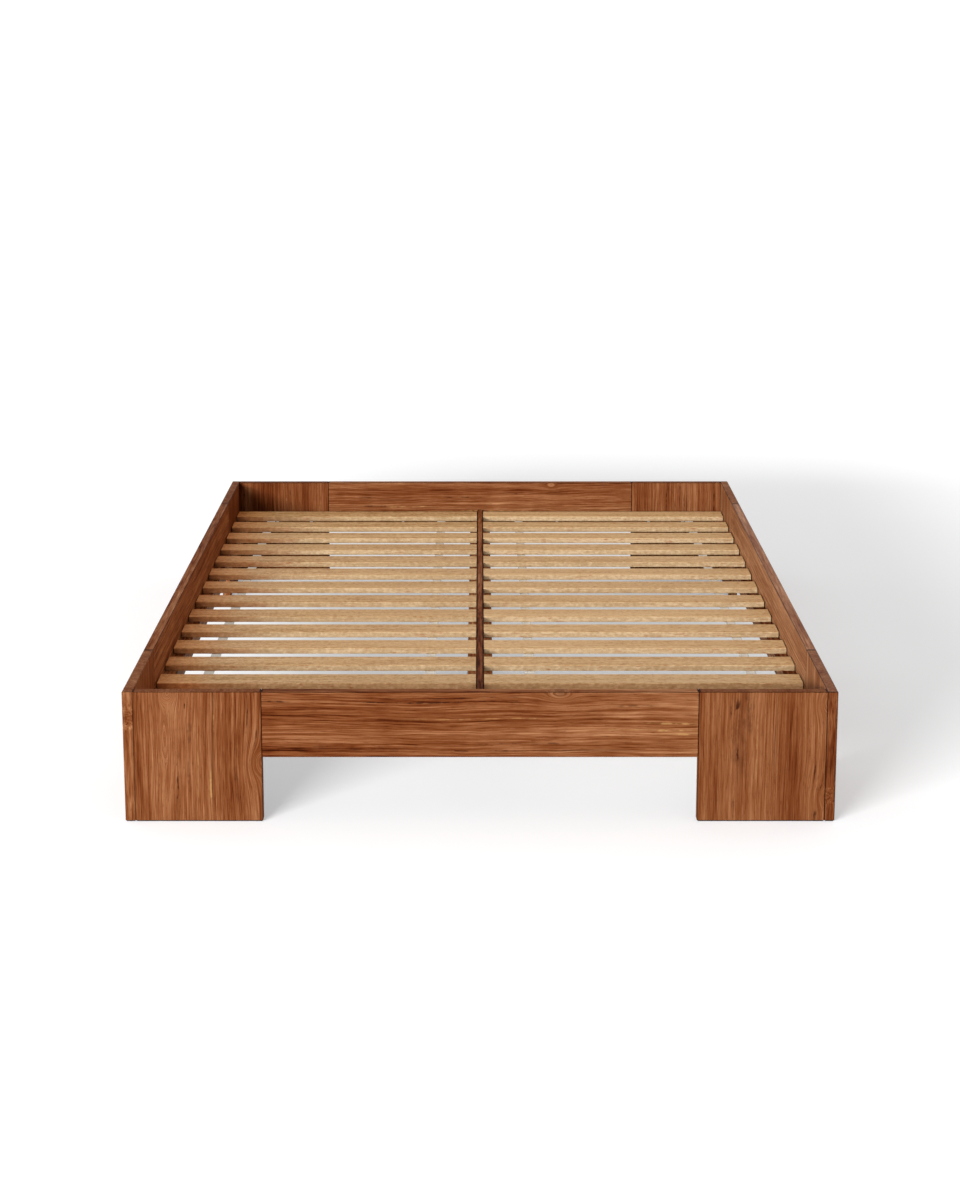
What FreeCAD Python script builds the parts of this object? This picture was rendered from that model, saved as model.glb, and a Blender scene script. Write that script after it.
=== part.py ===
import FreeCAD, Part
import os
import re
import Sketcher
from FreeCAD import Placement, Rotation, Vector

# Wooden bed frame for a queen mattress, in millimetres.
# Right is +X, the head end is +Y, up is +Z; the origin is on the floor under the middle.

os.makedirs("parts", exist_ok=True)
doc = FreeCAD.newDocument("bed_frame")

SIZES = {
    "mattress_width": 1524,
    "mattress_length": 2032,
    "mattress_clearance": 16,
    "frame_height": 303,
    "panel_thickness": 23,
    "leg_width": 308,
    "rail_height": 151.5,
    "edge_bevel": 1.2,
    "recess_depth": 87.5,
    "slat_width": 69,
    "slat_thickness": 15,
    "slat_end_gap": 27,
    "slat_side_gap": 3,
    "slat_beam_gap": 2.5,
    "slat_edge_radius": 1.5,
    "beam_thickness": 15,
    "beam_height": 45,
    "beam_end_gap": 0.5,
    "beam_notch_gap": 0.3,
    "side_ledge_width": 32,
    "centre_ledge_width": 23,
    "ledge_height": 45,
    "cleat_thickness": 20,
    "strap_width": 25,
    "strap_thickness": 1.5,
    "outer_strap_inset": 110,
    "inner_strap_offset": 122,
    "felt_thickness": 2.5,
    "felt_inset": 2,
    "dowel_diameter": 8,
    "dowel_length": 40,
    "dowel_in_side_panel": 14,
    "corner_dowel_margin": 36,
    "rail_dowel_margin": 38,
    "screw_diameter": 5,
    "screw_head_diameter": 10,
    "screw_head_depth": 3,
    "screw_socket_diameter": 4,
    "side_screw_length": 45,
    "cleat_screw_length": 35,
    "beam_screw_length": 50,
    "leg_screw_length": 60,
    "ledge_screw_offset": 410,
    "ledge_corner_screw_near": 92,
    "ledge_corner_screw_far": 216,
    "cleat_screw_offset": 246,
    "cleat_corner_screw_near": 123,
    "cleat_corner_screw_far": 231,
    "beam_screw_pitch": 512,
    "bore_clearance": 0.2,
    "staple_crown": 12,
    "staple_wire": 1.2,
    "staple_leg": 9,
}
SLATS_PER_MAT = 15

sheet = doc.addObject("Spreadsheet::Sheet", "sizes")
for row, (word, value) in enumerate(SIZES.items(), 1):
    sheet.set(f"A{row}", word)
    sheet.set(f"B{row}", str(value))
    sheet.setAlias(f"B{row}", word)
doc.recompute()

# Derived lengths, written with the words of the sizes sheet.
HALF_WIDTH = "((mattress_width + mattress_clearance) / 2)"
HALF_LENGTH = "((mattress_length + mattress_clearance) / 2)"
LEG_EDGE_X = f"({HALF_WIDTH} + panel_thickness - leg_width)"
LEG_EDGE_Y = f"({HALF_LENGTH} + panel_thickness - leg_width)"
PANEL_X = f"({HALF_WIDTH} + panel_thickness / 2)"
PANEL_Y = f"({HALF_LENGTH} + panel_thickness / 2)"
RAIL_BOTTOM = "(frame_height - rail_height)"
SLAT_TOP = "(frame_height - recess_depth)"
SLAT_BOTTOM = f"({SLAT_TOP} - slat_thickness)"
BEAM_BOTTOM = f"({SLAT_TOP} - beam_height)"
LEDGE_BOTTOM = f"({SLAT_BOTTOM} - ledge_height)"
SLAT_INNER_END = "(beam_thickness / 2 + slat_beam_gap)"
SLAT_LENGTH = f"({HALF_WIDTH} - slat_side_gap - {SLAT_INNER_END})"
SLAT_ROW = f"({HALF_LENGTH} - slat_end_gap - slat_width / 2)"
CENTRE_LEDGE_X = "(beam_thickness / 2 + centre_ledge_width / 2)"
STRAP_BOTTOM = f"({SLAT_BOTTOM} - strap_thickness)"
STRAP_X = {"outer": f"({HALF_WIDTH} - outer_strap_inset)", "inner": "inner_strap_offset"}

# Turns that lay an upright tool along each direction.
TURNS = {
    "+X": Rotation(Vector(0, 1, 0), 90),
    "-X": Rotation(Vector(0, 1, 0), -90),
    "+Y": Rotation(Vector(1, 0, 0), -90),
    "-Y": Rotation(Vector(1, 0, 0), 90),
    "+Z": Rotation(),
    "-Z": Rotation(Vector(1, 0, 0), 180),
}
SIDES = {"left": -1, "right": 1}
ENDS = {"foot": -1, "head": 1}

origins = {}
nodes = []


def bind(target, **lengths):
    """Tie properties of an object to formulas over the sizes sheet."""
    for field, formula in lengths.items():
        target.setExpression(field, re.sub(r"[a-z][a-z_]+", lambda word: "sizes." + word.group(), formula))


def place(target, spot, turn="+Z"):
    """Turn an object and tie its position to three formulas."""
    target.Placement = Placement(Vector(), TURNS[turn])
    for axis, formula in zip("xyz", spot):
        name = f"Placement.Base.{axis}"
        bind(target, **{name: formula})


def rectangle(body, name, role, width, height):
    """A rectangle sketched on one of the body's origin planes, centred on its origin."""
    sketch = body.newObject("Sketcher::SketchObject", name)
    plane = next(part for part in body.Origin.OriginFeatures if part.Role == role)
    sketch.AttachmentSupport = [(plane, "")]
    sketch.MapMode = "FlatFace"
    corners = [Vector(-9, -9, 0), Vector(9, -9, 0), Vector(9, 9, 0), Vector(-9, 9, 0)]
    for index in range(4):
        sketch.addGeometry(Part.LineSegment(corners[index], corners[(index + 1) % 4]), False)
    for index in range(4):
        sketch.addConstraint(Sketcher.Constraint("Coincident", index, 2, (index + 1) % 4, 1))
        flow = "Vertical" if index % 2 else "Horizontal"
        sketch.addConstraint(Sketcher.Constraint(flow, index))
    sketch.addConstraint(Sketcher.Constraint("Symmetric", 0, 1, 2, 1, -1, 1))
    for line, word, formula in ((0, "width", width), (1, "height", height)):
        index = sketch.addConstraint(Sketcher.Constraint("Distance", line, 18))
        sketch.renameConstraint(index, word)
        bind(sketch, **{f"Constraints.{word}": formula})
    return sketch


def board(name, label, size, spot, eased="bevel"):
    """A board standing on its spot: a padded rectangle with bevelled or rounded edges."""
    body = doc.addObject("PartDesign::Body", name)
    body.Label = label
    place(body, spot)
    origins[name] = spot
    sketch = rectangle(body, f"{name}_outline", "XY_Plane", size[0], size[1])
    pad = body.newObject("PartDesign::Pad", f"{name}_pad")
    pad.Profile = sketch
    bind(pad, Length=size[2])
    doc.recompute()
    edges = {f"Edge{index}": edge for index, edge in enumerate(pad.Shape.Edges, 1)}
    if eased == "bevel":
        bevel = body.newObject("PartDesign::Chamfer", f"{name}_bevel")
        bevel.Base = (pad, list(edges))
        bind(bevel, Size="edge_bevel")
    if eased == "round":
        along = [word for word, edge in edges.items() if abs(edge.tangentAt(edge.FirstParameter).x) > 0.99]
        rounding = body.newObject("PartDesign::Fillet", f"{name}_rounding")
        rounding.Base = (pad, along)
        bind(rounding, Radius="slat_edge_radius")
    nodes.append(body)
    return body


def cut(body, kind, name, spot, turn, **lengths):
    """Take a tool out of a body, from a spot given in the frame's own axes."""
    tool = body.newObject(f"PartDesign::Subtractive{kind}", name)
    bind(tool, **lengths)
    local = [f"({world}) - ({start})" for world, start in zip(spot, origins[body.Name])]
    place(tool, local, turn)


def block(name, size, spot):
    """A plain block standing on its spot."""
    box = doc.addObject("Part::Box", name)
    bind(box, Length=size[0], Width=size[1], Height=size[2])
    place(box, (f"{spot[0]} - {size[0]} / 2", f"{spot[1]} - {size[1]} / 2", spot[2]))
    return box


def group(name, label, members):
    """Small like pieces kept together as one object."""
    compound = doc.addObject("Part::Compound", name)
    compound.Label = label
    compound.Links = members
    nodes.append(compound)


def dowel(name, spot, axis, first, second, depth):
    """A dowel across a joint at the spot, reaching the depth back into the first board."""
    sign = 1 if axis[0] == "+" else -1
    at = "XYZ".index(axis[1])
    pin = doc.addObject("Part::Cylinder", name)
    bind(pin, Radius="dowel_diameter / 2", Height="dowel_length")
    start = list(spot)
    start[at] = f"{spot[at]} - {sign} * {depth}"
    place(pin, start, axis)
    start[at] = f"{spot[at]} - {sign} * ({depth} + 1)"
    for body in (first, second):
        cut(body, "Cylinder", f"{name}_bore_{body.Name}", start, axis,
            Radius="(dowel_diameter + bore_clearance) / 2", Height="dowel_length + 2")
    return pin


def screw(name, spot, axis, length, bodies):
    """A countersunk screw driven from the spot through the first body into the others."""
    head = doc.addObject("Part::Cone", f"{name}_head")
    bind(head, Radius1="screw_head_diameter / 2", Radius2="screw_diameter / 2", Height="screw_head_depth")
    shank = doc.addObject("Part::Cylinder", f"{name}_shank")
    bind(shank, Radius="screw_diameter / 2", Height=length)
    blank = doc.addObject("Part::Fuse", f"{name}_blank")
    blank.Base = head
    blank.Tool = shank
    socket = doc.addObject("Part::Prism", f"{name}_socket")
    bind(socket, Circumradius="screw_socket_diameter / 2", Height="screw_head_depth * 0.6")
    made = doc.addObject("Part::Cut", name)
    made.Base = blank
    made.Tool = socket
    place(made, spot, axis)
    for body in bodies:
        cut(body, "Cylinder", f"{name}_bore_{body.Name}", spot, axis,
            Radius="(screw_diameter + bore_clearance) / 2", Height=f"{length} + 1")
    cut(bodies[0], "Cone", f"{name}_countersink", spot, axis, Height="screw_head_depth",
        Radius1="(screw_head_diameter + bore_clearance) / 2",
        Radius2="(screw_diameter + bore_clearance) / 2")
    return made


def staple(name, x, y, bodies):
    """A staple driven up through a strap into the slat above it, with its two slots."""
    low = f"({STRAP_BOTTOM} - staple_wire)"
    wire = "staple_wire"
    slot = "(staple_wire + bore_clearance)"
    parts = [block(f"{name}_crown", ("staple_crown", wire, wire), (x, y, low))]
    for hand, sign in SIDES.items():
        leg_x = f"{x} + {sign} * (staple_crown - staple_wire) / 2"
        parts.append(block(f"{name}_{hand}", (wire, wire, "(staple_wire + staple_leg)"), (leg_x, y, low)))
        corner = (f"{leg_x} - {slot} / 2", f"{y} - {slot} / 2", low)
        for body in bodies:
            cut(body, "Box", f"{name}_{hand}_slot_{body.Name}", corner, "+Z",
                Length=slot, Width=slot, Height="staple_wire + staple_leg + 0.5")
    made = doc.addObject("Part::MultiFuse", name)
    made.Shapes = parts
    return made


# Corner legs: a side panel runs to the end face and an end panel butts against it.
LEG_HEIGHT = "(frame_height - felt_thickness)"
END_LEG_WIDTH = "(leg_width - panel_thickness)"
SIDE_LEG_Y = f"({PANEL_Y} - ({END_LEG_WIDTH} / 2))"
END_LEG_X = f"({HALF_WIDTH} - {END_LEG_WIDTH} / 2)"
side_legs = {}
end_legs = {}
for end, to_end in ENDS.items():
    for side, to_side in SIDES.items():
        corner = f"{end}_{side}"
        side_legs[corner] = board(
            f"leg_side_{corner}", f"Leg panel, {side} side, {end}",
            ("panel_thickness", "leg_width", LEG_HEIGHT),
            (f"{to_side} * {PANEL_X}", f"{to_end} * {SIDE_LEG_Y}", "felt_thickness"))
        end_legs[corner] = board(
            f"leg_end_{corner}", f"Leg panel, {end} end, {side}",
            (END_LEG_WIDTH, "panel_thickness", LEG_HEIGHT),
            (f"{to_side} * {END_LEG_X}", f"{to_end} * {PANEL_Y}", "felt_thickness"))

# Rails between the legs, and the ledges and cleats screwed inside them.
end_rails = {}
cleats = {}
for end, to_end in ENDS.items():
    end_rails[end] = board(
        f"rail_{end}", f"Rail, {end} end",
        (f"2 * {LEG_EDGE_X}", "panel_thickness", "rail_height"),
        ("0", f"{to_end} * {PANEL_Y}", RAIL_BOTTOM))
    cleats[end] = board(
        f"cleat_{end}", f"Cleat, {end} end",
        (f"2 * ({HALF_WIDTH} - side_ledge_width)", "cleat_thickness", "ledge_height"),
        ("0", f"{to_end} * ({HALF_LENGTH} - cleat_thickness / 2)", LEDGE_BOTTOM))
    notch = (
        "-(beam_thickness / 2 + beam_notch_gap)",
        f"{to_end} * ({HALF_LENGTH} - cleat_thickness / 2) - cleat_thickness / 2 - 1",
        BEAM_BOTTOM)
    cut(cleats[end], "Box", f"cleat_{end}_notch", notch, "+Z",
        Length="beam_thickness + 2 * beam_notch_gap", Width="cleat_thickness + 2", Height="ledge_height")
side_rails = {}
ledges = {}
centre_ledges = {}
for side, to_side in SIDES.items():
    side_rails[side] = board(
        f"rail_{side}", f"Rail, {side} side",
        ("panel_thickness", f"2 * {LEG_EDGE_Y}", "rail_height"),
        (f"{to_side} * {PANEL_X}", "0", RAIL_BOTTOM))
    ledges[side] = board(
        f"ledge_{side}", f"Slat ledge, {side} side",
        ("side_ledge_width", f"2 * {HALF_LENGTH}", "ledge_height"),
        (f"{to_side} * ({HALF_WIDTH} - side_ledge_width / 2)", "0", LEDGE_BOTTOM))
    centre_ledges[side] = board(
        f"centre_ledge_{side}", f"Centre slat ledge, {side}",
        ("centre_ledge_width", f"2 * ({HALF_LENGTH} - cleat_thickness)", "beam_height - slat_thickness"),
        (f"{to_side} * {CENTRE_LEDGE_X}", "0", BEAM_BOTTOM))

# Centre beam in the cleats' notches, carried at the middle by its own leg.
beam = board(
    "centre_beam", "Centre beam",
    ("beam_thickness", f"2 * ({HALF_LENGTH} - beam_end_gap)", "beam_height"),
    ("0", "0", BEAM_BOTTOM))
centre_leg = board(
    "centre_leg", "Centre leg",
    ("beam_thickness + 2 * centre_ledge_width", "beam_thickness + 2 * centre_ledge_width",
     f"{BEAM_BOTTOM} - felt_thickness"),
    ("0", "0", "felt_thickness"))

# Two loose slat mats: slats held at their pitch by straps stapled underneath.
for side, to_side in SIDES.items():
    straps = {}
    for row in STRAP_X:
        straps[row] = board(
            f"strap_{side}_{row}", f"Strap, {side} mat, {row}",
            ("strap_width", f"2 * {SLAT_ROW} + slat_width - 2 * slat_edge_radius", "strap_thickness"),
            (f"{to_side} * {STRAP_X[row]}", "0", STRAP_BOTTOM), eased="none")
    staples = []
    for number in range(1, SLATS_PER_MAT + 1):
        middle = (SLATS_PER_MAT + 1) / 2
        y = f"{(number - middle) / (middle - 1):.6f} * {SLAT_ROW}"
        slat = board(
            f"slat_{side}_{number:02d}", f"Slat {number}, {side} mat",
            (SLAT_LENGTH, "slat_width", "slat_thickness"),
            (f"{to_side} * ({SLAT_INNER_END} + {SLAT_LENGTH} / 2)", y, SLAT_BOTTOM), eased="round")
        for row, strap in straps.items():
            name = f"staple_{side}_{row}_{number:02d}"
            staples.append(staple(name, f"{to_side} * {STRAP_X[row]}", y, (strap, slat)))
    group(f"staples_{side}", f"Strap staples, {side} mat", staples)

# Dowels: four up each corner, two across each rail joint.
CORNER_DOWEL_PITCH = "((frame_height - 2 * corner_dowel_margin) / 3)"
RAIL_DOWEL_HEIGHTS = {
    "upper": "frame_height - rail_dowel_margin",
    "lower": f"{RAIL_BOTTOM} + rail_dowel_margin",
}
dowels = []
for end, to_end in ENDS.items():
    for side, to_side in SIDES.items():
        corner = f"{end}_{side}"
        outward_x, outward_y = ("+X" if to_side > 0 else "-X"), ("+Y" if to_end > 0 else "-Y")
        for number in range(4):
            height = f"corner_dowel_margin + {number} * {CORNER_DOWEL_PITCH}"
            spot = (f"{to_side} * {HALF_WIDTH}", f"{to_end} * {PANEL_Y}", height)
            dowels.append(dowel(
                f"dowel_corner_{corner}_{number + 1}", spot, outward_x,
                end_legs[corner], side_legs[corner], "(dowel_length - dowel_in_side_panel)"))
        for row, height in RAIL_DOWEL_HEIGHTS.items():
            tag = f"{corner}_{row}"
            spot = (f"{to_side} * {LEG_EDGE_X}", f"{to_end} * {PANEL_Y}", height)
            dowels.append(dowel(
                f"dowel_end_{tag}", spot, outward_x,
                end_rails[end], end_legs[corner], "(dowel_length / 2)"))
            spot = (f"{to_side} * {PANEL_X}", f"{to_end} * {LEG_EDGE_Y}", height)
            dowels.append(dowel(
                f"dowel_side_{tag}", spot, outward_y,
                side_rails[side], side_legs[corner], "(dowel_length / 2)"))
group("joint_dowels", "Joint dowels", dowels)

# Screws: ledges and cleats to the panels behind them, centre ledges through the beam.
screws = []
LEDGE_MIDDLE = f"({LEDGE_BOTTOM} + ledge_height / 2)"
for side, to_side in SIDES.items():
    outward = "+X" if to_side > 0 else "-X"
    face = f"{to_side} * ({HALF_WIDTH} - side_ledge_width)"
    screws.append(screw(
        f"screw_side_{side}_middle", (face, "0", LEDGE_MIDDLE), outward,
        "side_screw_length", (ledges[side], side_rails[side])))
    for end, to_end in ENDS.items():
        leg = side_legs[f"{end}_{side}"]
        rows = {
            "a": (f"{to_end} * ledge_screw_offset", side_rails[side]),
            "b": (f"{to_end} * ({HALF_LENGTH} - ledge_corner_screw_far)", leg),
            "c": (f"{to_end} * ({HALF_LENGTH} - ledge_corner_screw_near)", leg),
        }
        for tag, (y, panel) in rows.items():
            screws.append(screw(
                f"screw_side_{side}_{end}_{tag}", (face, y, LEDGE_MIDDLE), outward,
                "side_screw_length", (ledges[side], panel)))
for end, to_end in ENDS.items():
    outward = "+Y" if to_end > 0 else "-Y"
    face = f"{to_end} * ({HALF_LENGTH} - cleat_thickness)"
    for side, to_side in SIDES.items():
        leg = end_legs[f"{end}_{side}"]
        rows = {
            "a": (f"{to_side} * cleat_screw_offset", end_rails[end]),
            "b": (f"{to_side} * ({HALF_WIDTH} - cleat_corner_screw_far)", leg),
            "c": (f"{to_side} * ({HALF_WIDTH} - cleat_corner_screw_near)", leg),
        }
        for tag, (x, panel) in rows.items():
            screws.append(screw(
                f"screw_cleat_{end}_{side}_{tag}", (x, face, LEDGE_MIDDLE), outward,
                "cleat_screw_length", (cleats[end], panel)))
beam_face = "-(beam_thickness / 2 + centre_ledge_width)"
beam_middle = f"({BEAM_BOTTOM} + (beam_height - slat_thickness) / 2)"
for number in range(1, 5):
    screws.append(screw(
        f"screw_beam_{number}", (beam_face, f"{number - 2.5} * beam_screw_pitch", beam_middle), "+X",
        "beam_screw_length", (centre_ledges["left"], beam, centre_ledges["right"])))
for side, to_side in SIDES.items():
    screws.append(screw(
        f"screw_leg_{side}", (f"{to_side} * {CENTRE_LEDGE_X}", "0", SLAT_BOTTOM), "-Z",
        "leg_screw_length", (centre_ledges[side], centre_leg)))
group("ledge_screws", "Ledge screws", screws)

# Felt strips under every leg panel and under the centre leg.
felt = []
for end, to_end in ENDS.items():
    for side, to_side in SIDES.items():
        felt.append(block(
            f"felt_side_{end}_{side}",
            ("(panel_thickness - 2 * felt_inset)", "(leg_width - 2 * felt_inset)", "felt_thickness"),
            (f"{to_side} * {PANEL_X}", f"{to_end} * {SIDE_LEG_Y}", "0")))
        felt.append(block(
            f"felt_end_{end}_{side}",
            (f"({END_LEG_WIDTH} - 2 * felt_inset)", "(panel_thickness - 2 * felt_inset)", "felt_thickness"),
            (f"{to_side} * {END_LEG_X}", f"{to_end} * {PANEL_Y}", "0")))
CENTRE_PAD = "(beam_thickness + 2 * centre_ledge_width - 2 * felt_inset)"
felt.append(block("felt_centre", (CENTRE_PAD, CENTRE_PAD, "felt_thickness"), ("0", "0", "0")))
group("felt_pads", "Felt pads", felt)

doc.recompute()
for item in doc.Objects:
    if any(state in ("Invalid", "Error") for state in item.State):
        raise RuntimeError(f"{item.Name} did not recompute")
for node in nodes:
    if node.Shape.isNull() or not node.Shape.isValid():
        raise RuntimeError(f"{node.Name} has no valid shape")
    node.Shape.exportStep(f"parts/{node.Name}.step")
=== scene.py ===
import math
import random

import bmesh
import bpy
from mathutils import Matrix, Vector


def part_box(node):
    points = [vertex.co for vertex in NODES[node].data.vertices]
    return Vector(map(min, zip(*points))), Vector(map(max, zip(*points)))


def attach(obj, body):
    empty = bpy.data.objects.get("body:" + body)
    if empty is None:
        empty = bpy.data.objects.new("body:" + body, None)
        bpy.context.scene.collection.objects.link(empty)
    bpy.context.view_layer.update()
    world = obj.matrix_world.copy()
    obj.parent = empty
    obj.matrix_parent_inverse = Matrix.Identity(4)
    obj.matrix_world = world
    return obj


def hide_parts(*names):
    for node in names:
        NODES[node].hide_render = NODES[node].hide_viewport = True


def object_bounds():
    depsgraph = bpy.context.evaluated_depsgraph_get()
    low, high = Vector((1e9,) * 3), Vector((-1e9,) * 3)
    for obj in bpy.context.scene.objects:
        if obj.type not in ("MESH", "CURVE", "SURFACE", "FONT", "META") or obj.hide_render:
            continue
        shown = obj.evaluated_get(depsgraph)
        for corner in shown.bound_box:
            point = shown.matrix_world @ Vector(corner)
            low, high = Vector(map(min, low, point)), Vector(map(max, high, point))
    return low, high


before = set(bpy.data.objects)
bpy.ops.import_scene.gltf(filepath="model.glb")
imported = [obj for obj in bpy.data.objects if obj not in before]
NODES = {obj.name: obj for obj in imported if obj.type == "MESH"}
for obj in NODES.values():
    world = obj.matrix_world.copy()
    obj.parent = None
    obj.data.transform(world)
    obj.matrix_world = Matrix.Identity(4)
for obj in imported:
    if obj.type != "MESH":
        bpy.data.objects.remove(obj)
cad_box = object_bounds()

# Everything is in metres, in the frame's own axes: +X right, +Y head end, +Z up.
AXES = {"X": 0, "Y": 1, "Z": 2}
MM = 0.001


# ---------------------------------------------------------------- material graphs


def srgb(red, green, blue):
    """A screen colour, 0 to 255, as the linear colour that a shader takes."""
    shares = [channel / 255 for channel in (red, green, blue)]
    linear = [s / 12.92 if s <= 0.04045 else ((s + 0.055) / 1.055) ** 2.4 for s in shares]
    return (*linear, 1.0)


class Graph:
    """A material's node tree, with short calls for the nodes used here."""

    def __init__(self, name):
        self.material = bpy.data.materials.new(name)
        self.material.use_nodes = True
        self.tree = self.material.node_tree
        self.tree.nodes.clear()
        self.shader = self.tree.nodes.new("ShaderNodeBsdfPrincipled")
        output = self.tree.nodes.new("ShaderNodeOutputMaterial")
        self.tree.links.new(self.shader.outputs["BSDF"], output.inputs["Surface"])

    def put(self, value, socket):
        """Give a socket a number, a colour or another node's output."""
        if isinstance(value, bpy.types.NodeSocket):
            self.tree.links.new(value, socket)
        else:
            socket.default_value = value

    def math(self, operation, first, second=0.0):
        node = self.tree.nodes.new("ShaderNodeMath")
        node.operation = operation
        self.put(first, node.inputs[0])
        self.put(second, node.inputs[1])
        return node.outputs[0]

    def times(self, first, second):
        return self.math("MULTIPLY", first, second)

    def plus(self, *values):
        total = values[0]
        for value in values[1:]:
            total = self.math("ADD", total, value)
        return total

    def about_zero(self, *weighted):
        """The sum of (noise, weight) pairs, shifted so that it varies about 0."""
        total = self.plus(*(self.times(noise, weight) for noise, weight in weighted))
        return self.plus(total, -0.5 * sum(weight for _, weight in weighted))

    def most(self, *values):
        highest = values[0]
        for value in values[1:]:
            highest = self.math("MAXIMUM", highest, value)
        return highest

    def split(self, vector):
        node = self.tree.nodes.new("ShaderNodeSeparateXYZ")
        self.put(vector, node.inputs[0])
        return node.outputs

    def join(self, x, y, z):
        node = self.tree.nodes.new("ShaderNodeCombineXYZ")
        for value, socket in zip((x, y, z), node.inputs):
            self.put(value, socket)
        return node.outputs[0]

    def place(self):
        """Where a point lies in the frame at rest, as three numbers."""
        node = self.tree.nodes.new("ShaderNodeTexCoord")
        return self.split(node.outputs["Object"])

    def normal(self):
        """How squarely a face looks along each axis, 0 to 1."""
        node = self.tree.nodes.new("ShaderNodeNewGeometry")
        return [self.math("ABSOLUTE", part) for part in self.split(node.outputs["Normal"])]

    def noise(self, x, y, z, detail=2.0, roughness=0.5):
        """Noise about 0.5, with cells one unit across."""
        node = self.tree.nodes.new("ShaderNodeTexNoise")
        self.put(self.join(x, y, z), node.inputs["Vector"])
        node.inputs["Scale"].default_value = 1.0
        node.inputs["Detail"].default_value = detail
        node.inputs["Roughness"].default_value = roughness
        return node.outputs["Fac"]

    def fade(self, value, start, end, low=0.0, high=1.0):
        """A smooth step of a value from low at start to high at end."""
        node = self.tree.nodes.new("ShaderNodeMapRange")
        node.interpolation_type = "SMOOTHSTEP"
        limits = {"From Min": start, "From Max": end, "To Min": low, "To Max": high}
        self.put(value, node.inputs["Value"])
        for socket, limit in limits.items():
            node.inputs[socket].default_value = limit
        return node.outputs["Result"]

    def ramp(self, value, stops):
        """A colour that runs through the stops, each a place and a colour."""
        node = self.tree.nodes.new("ShaderNodeValToRGB")
        self.put(value, node.inputs["Fac"])
        while len(node.color_ramp.elements) < len(stops):
            node.color_ramp.elements.new(0.5)
        for element, (at, colour) in zip(node.color_ramp.elements, stops):
            element.position = at
            element.color = colour
        return node.outputs["Color"]

    def mix(self, share, first, second):
        node = self.tree.nodes.new("ShaderNodeMix")
        node.data_type = "RGBA"
        colour_sockets = [socket for socket in node.inputs if socket.type == "RGBA"]
        self.put(share, node.inputs["Factor"])
        self.put(first, colour_sockets[0])
        self.put(second, colour_sockets[1])
        return next(socket for socket in node.outputs if socket.type == "RGBA")

    def tint(self, share, colour, factor):
        """A colour multiplied by a factor for each channel, by the given share."""
        node = self.tree.nodes.new("ShaderNodeMix")
        node.data_type = "RGBA"
        node.blend_type = "MULTIPLY"
        colour_sockets = [socket for socket in node.inputs if socket.type == "RGBA"]
        self.put(share, node.inputs["Factor"])
        self.put(colour, colour_sockets[0])
        self.put((*factor, 1.0), colour_sockets[1])
        return next(socket for socket in node.outputs if socket.type == "RGBA")

    def bump(self, height, strength, distance):
        node = self.tree.nodes.new("ShaderNodeBump")
        node.inputs["Strength"].default_value = strength
        node.inputs["Distance"].default_value = distance
        self.put(height, node.inputs["Height"])
        self.put(node.outputs["Normal"], self.shader.inputs["Normal"])

    def finish(self, colour, roughness, specular=0.5):
        self.put(colour, self.shader.inputs["Base Color"])
        self.put(roughness, self.shader.inputs["Roughness"])
        self.shader.inputs["Specular IOR Level"].default_value = specular
        return self.material


# ---------------------------------------------------------------- walnut boards

WALNUT = (
    (0.00, srgb(35, 9, 1)),
    (0.20, srgb(70, 30, 10)),
    (0.40, srgb(91, 49, 24)),
    (0.60, srgb(105, 64, 38)),
    (0.80, srgb(122, 81, 53)),
    (1.00, srgb(144, 103, 71)),
)
DARK_STREAK = srgb(38, 14, 6)
GOLD_STREAK = srgb(142, 108, 66)
END_GRAIN = srgb(60, 26, 13)
EDGE_SHADE = srgb(24, 9, 4)
PAINTED_WARM_BOUNCE = (1.35, 0.95, 0.62)
JOINT_SHADE = 4.5 * MM
# How far the grain lines stray across a board, and how much a knot's inside draws them out.
RAIL_WANDER, BOARD_WANDER, RIPPLE = 16 * MM, 26 * MM, 2.8 * MM
KNOT_DEPTH = 1.3
# How squarely a face looks along an axis: where its colouring starts and where it is full.
FACE_ON = (0.80, 0.95)
# The same for the eased edges, which look squarely along no axis.
EASED = (0.96, 0.84)
VEIN_SHARE = 0.5
PORE_SHARE = 0.4
END_GRAIN_SHARE = 0.35
JOINT_SHARE = 0.9


def board_axes(node):
    """The axes along the grain, across the face and through a board, and its middle."""
    low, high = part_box(node)
    size = high - low
    order = sorted("XYZ", key=lambda axis: -size[AXES[axis]])
    if node.startswith("leg_"):
        face = "Y" if node.startswith("leg_side") else "X"
        order = ["Z", face, "X" if face == "Y" else "Y"]
    return order, (low + high) / 2


class Knot:
    """A knot or a pointed figure that the grain flows round, in metres from the board's middle."""

    def __init__(self, aside, along, radius, stretch=1.6, dark=0.0):
        self.aside, self.along, self.radius = aside, along, radius
        self.stretch, self.dark = stretch, dark


class Streak:
    """A streak that follows the grain, in metres from the board's middle."""

    def __init__(self, aside, along, half_length, half_width, strength=0.8, broken=0.5):
        self.aside, self.along = aside, along
        self.half_length, self.half_width = half_length, half_width
        self.strength, self.broken = strength, broken


class Figure:
    """One board's look: tones added to its grain, shares of painted shade on its narrow faces and eased
    edges, a share of painted warm bounce light on its broad faces, gloss, knots and streaks.
    """

    def __init__(
            self, tone=0.0, drift=0.0, contrast=0.9, edge=0.0, seam=0.92, warm=0.0, gloss=0.005,
            knots=(), dark=(), gold=()):
        self.tone, self.drift, self.contrast = tone, drift, contrast
        self.edge, self.seam, self.warm, self.gloss = edge, seam, warm, gloss
        self.knots, self.dark, self.gold = knots, dark, gold
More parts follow.
